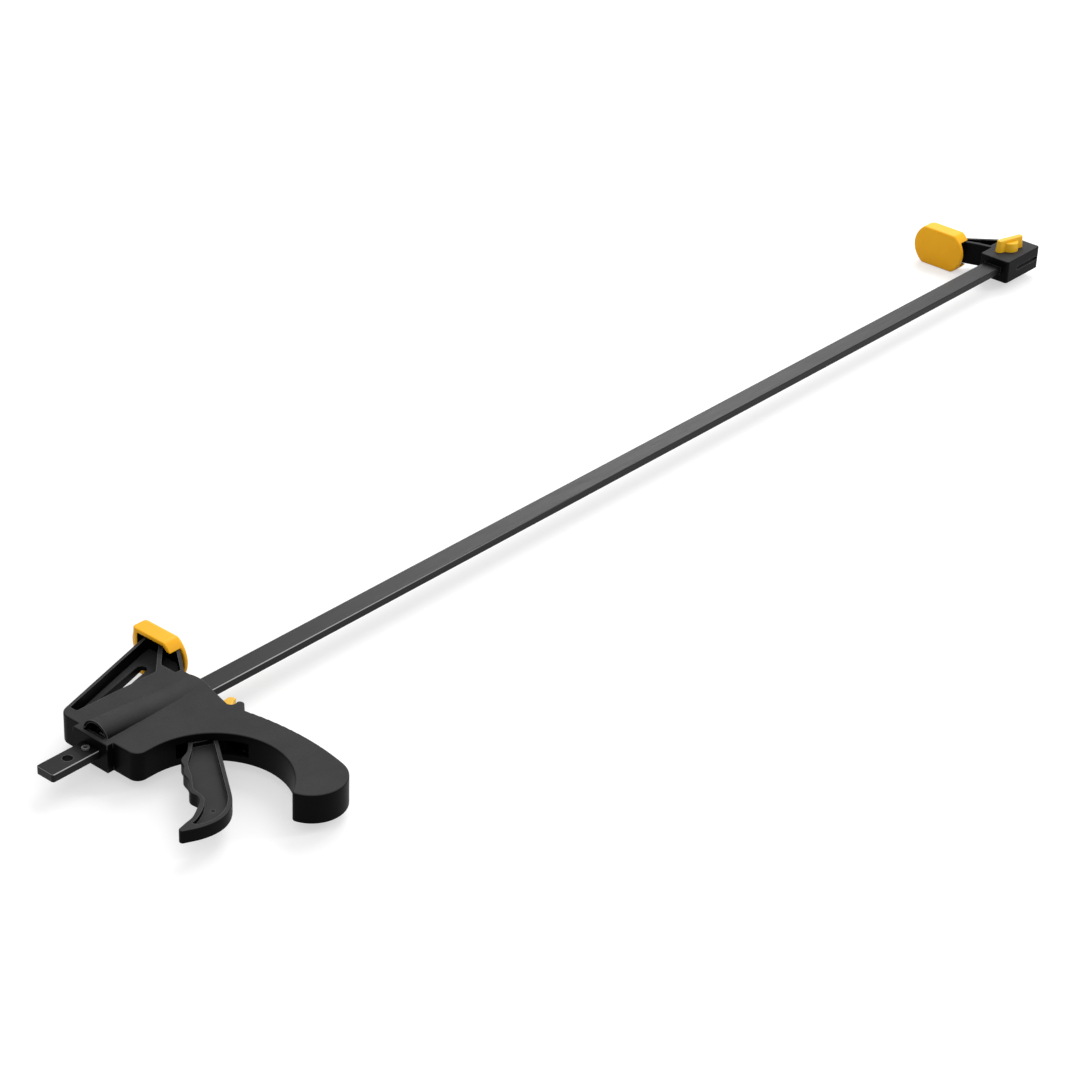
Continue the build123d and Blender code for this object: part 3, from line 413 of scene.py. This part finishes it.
def merged_copy(node, name):
    """A new piece with the node's shape, its doubled points merged."""
    weld = 1e-6
    shape = bmesh.new()
    shape.from_mesh(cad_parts[node].data)
    bmesh.ops.remove_doubles(shape, verts=shape.verts, dist=weld)
    mesh = bpy.data.meshes.new(name)
    shape.to_mesh(mesh)
    shape.free()
    piece = bpy.data.objects.new(name, mesh)
    bpy.context.scene.collection.objects.link(piece)
    return piece


def coil(node, name, body):
    """A spring made from the node as a smooth piece of its own in dark wire, carried by body;
    the node is hidden.
    """
    spring = merged_copy(node, name)
    for face in spring.data.polygons:
        face.use_smooth = True
    spring.data.materials.append(spring_steel)
    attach(spring, body)
    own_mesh(spring)
    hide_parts(node)


coil("drive_spring", "drive_coil", body="housing")
coil("brake_spring", "brake_coil", body="housing")


def yellow(name, colour, streak_colour, roughness, specular):
    """Yellow moulding with a soft sheen and slight streaks of the pigment."""
    grain_depth, rough_swing = 0.000012, 0.05
    material = bpy.data.materials.new(name)
    tree, shader = nodes_of(material)
    where = tree.nodes.new("ShaderNodeTexCoord")
    surface = place_group(tree, skin, Place=where.outputs["Object"],
                          Turned=where.outputs["Normal"], Grain_depth=grain_depth)
    streaks = spread(tree, surface.outputs["Cloud"], 0.3, 0.7, 0.0, 1.0)
    join(tree, mix_colour(tree, streaks, streak_colour, colour), shader.inputs["Base Color"])
    smoothest, roughest = roughness - rough_swing, roughness + rough_swing
    rough = spread(tree, surface.outputs["Grain"], 0.25, 0.75, smoothest, roughest)
    join(tree, rough, shader.inputs["Roughness"])
    shader.inputs["Specular IOR Level"].default_value = specular
    join(tree, surface.outputs["Normal"], shader.inputs["Normal"])
    return material


yellow_plastic = yellow("yellow_plastic", colour=(0.86, 0.47, 0.012),
                        streak_colour=(0.80, 0.43, 0.010), roughness=0.34, specular=0.25)
finish_node("release_lever", yellow_plastic)

# ------------------------------------------------------------------ pads
# Soft moulded cups that push over the jaw plates and keep the work from being marked. Every
# edge of the rubber is a little rounded, so both cups are modelled here over their solids.
pad_yellow = yellow("pad_yellow", colour=(0.98, 0.475, 0.016),
                    streak_colour=(0.94, 0.445, 0.013), roughness=0.44, specular=0.12)
cell = 0.00045
rim_depth = 0.006
rounds_all_over = 6
rounds_at_rim = 24


def soften(cup, rounds, group=""):
    """Smooths the cup by so many rounds, all over or in the group, and applies the result
    together with the modifiers before it."""
    smoothing = cup.modifiers.new("soften", "SMOOTH")
    smoothing.factor = 0.5
    smoothing.iterations = rounds
    smoothing.vertex_group = group
    finished = cup.evaluated_get(bpy.context.evaluated_depsgraph_get())
    cup.data = bpy.data.meshes.new_from_object(finished)
    cup.modifiers.clear()


def rubber_cup(node, name, body, front_x):
    """A cup in the space of its solid, remeshed finely and smoothed, most at its front rim."""
    cup = merged_copy(node, name)
    remesh = cup.modifiers.new("cells", "REMESH")
    remesh.mode = "VOXEL"
    remesh.voxel_size = cell
    soften(cup, rounds_all_over)
    front = cup.vertex_groups.new(name="front")
    for vertex in cup.data.vertices:
        near = 1.0 - abs(vertex.co.x - front_x) / rim_depth
        if near > 0.0:
            front.add([vertex.index], min(1.0, 2.0 * near), "REPLACE")
    soften(cup, rounds_at_rim, "front")
    for face in cup.data.polygons:
        face.use_smooth = True
    cup.data.materials.clear()
    cup.data.materials.append(pad_yellow)
    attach(cup, body)
    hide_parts(node)


rubber_cup("moving_jaw_pad", "moving_pad_cup", body="housing", front_x=0.133)
rubber_cup("fixed_jaw_pad", "fixed_pad_cup", body="bar_and_fixed_jaw", front_x=1.037)

# ------------------------------------------------------------------ fixed jaw and its lock
# The fixed jaw is one moulding. A sprung pin under a yellow knob drops through the hole of
# the bar and holds it; the spring bears on a plain bush pressed into the jaw.
finish_node("fixed_jaw", black_nylon)
finish_node("lock_knob", yellow_plastic)
finish_node("lock_pin", pin_steel)
coil("lock_spring", "lock_coil", body="bar_and_fixed_jaw")
# As on the nylon, face and wall colours are painted light and shade and the edge colour a
# painted highlight.
bush_plastic = moulded("bush_plastic", lit_face_colour=(0.05, 0.05, 0.052),
                       shaded_wall_colour=(0.03, 0.03, 0.032), edge_highlight_colour=(0.10, 0.10, 0.10),
                       roughness=0.4, specular=0.4)
finish_node("lock_bush", bush_plastic)

# ------------------------------------------------------------------ floor and sky
# Pale floor just under the pads, which shows white and keeps the clamp's shadow, and a plain
# white sky.
floor_gap = 0.0002
floor_half = 40.0
floor_glow = 0.55
sky_strength = 0.7
white = (1.0, 1.0, 1.0, 1.0)

floor_z = cad_box[0][2] - floor_gap
mesh = bpy.data.meshes.new("floor")
floor = bpy.data.objects.new("floor", mesh)
bpy.context.scene.collection.objects.link(floor)
sheet = bmesh.new()
bmesh.ops.create_grid(sheet, x_segments=1, y_segments=1, size=floor_half,
                      matrix=Matrix.Translation((0, 0, floor_z)))
sheet.to_mesh(mesh)
sheet.free()

floor_paper = bpy.data.materials.new("floor_paper")
tree, shader = nodes_of(floor_paper)
shader.inputs["Base Color"].default_value = (0.5, 0.5, 0.5, 1.0)
shader.inputs["Roughness"].default_value = 0.9
shader.inputs["Specular IOR Level"].default_value = 0.0
path = tree.nodes.new("ShaderNodeLightPath")
seen = math_node(tree, "MAXIMUM", path.outputs["Is Camera Ray"], path.outputs["Is Glossy Ray"])
seen = math_node(tree, "MAXIMUM", seen, path.outputs["Is Transmission Ray"])
join(tree, math_node(tree, "MULTIPLY", seen, floor_glow), shader.inputs["Emission Strength"])
shader.inputs["Emission Color"].default_value = white
mesh.materials.append(floor_paper)

world = bpy.data.worlds.new("studio")
bpy.context.scene.world = world
world.use_nodes = True
sky = world.node_tree.nodes["Background"]
sky.inputs["Color"].default_value = white
sky.inputs["Strength"].default_value = sky_strength


# ------------------------------------------------------------------ lamps and camera
# Three soft boxes beyond the fixed jaw, whose light glances back along the bar, and a long
# lens that looks along the bar from its tail.
def soft_box(name, target, azimuth, elevation, distance, size, power):
    """A rectangular lamp that looks at target; azimuth is counted from +X towards +Y."""
    lamp = bpy.data.lights.new(name, "AREA")
    lamp.shape = "RECTANGLE"
    lamp.size, lamp.size_y = size
    lamp.energy = power
    holder = bpy.data.objects.new(name, lamp)
    bpy.context.scene.collection.objects.link(holder)
    turn, tilt = math.radians(azimuth), math.radians(elevation)
    level = math.cos(tilt)
    away = Vector((math.cos(turn) * level, math.sin(turn) * level, math.sin(tilt)))
    holder.location = Vector(target) + distance * away
    holder.rotation_euler = away.to_track_quat("Z", "Y").to_euler()


soft_box("back_box", target=(0.6, 0.0, 0.0), azimuth=22.0, elevation=50.0, distance=3.0,
         size=(1.8, 1.8), power=55.0)
soft_box("far_box", target=(0.7, 0.0, 0.0), azimuth=39.4, elevation=29.8, distance=5.0,
         size=(1.4, 1.4), power=37.0)
soft_box("side_box", target=(0.4, 0.0, 0.0), azimuth=-40.0, elevation=34.0, distance=3.0,
         size=(0.5, 1.2), power=20.0)

camera_data = bpy.data.cameras.new("camera")
camera = bpy.data.objects.new("camera", camera_data)
bpy.context.scene.collection.objects.link(camera)
bpy.context.scene.camera = camera
camera_data.sensor_width = 36.0
camera_data.lens = 103.571
camera_data.clip_end = 100.0
camera.location = (-1.03619, -1.23355, 1.08599)
camera.rotation_euler = [math.radians(angle) for angle in (60.2003, -2.0642, -49.0176)]
bpy.context.scene.view_settings.view_transform = "Standard"
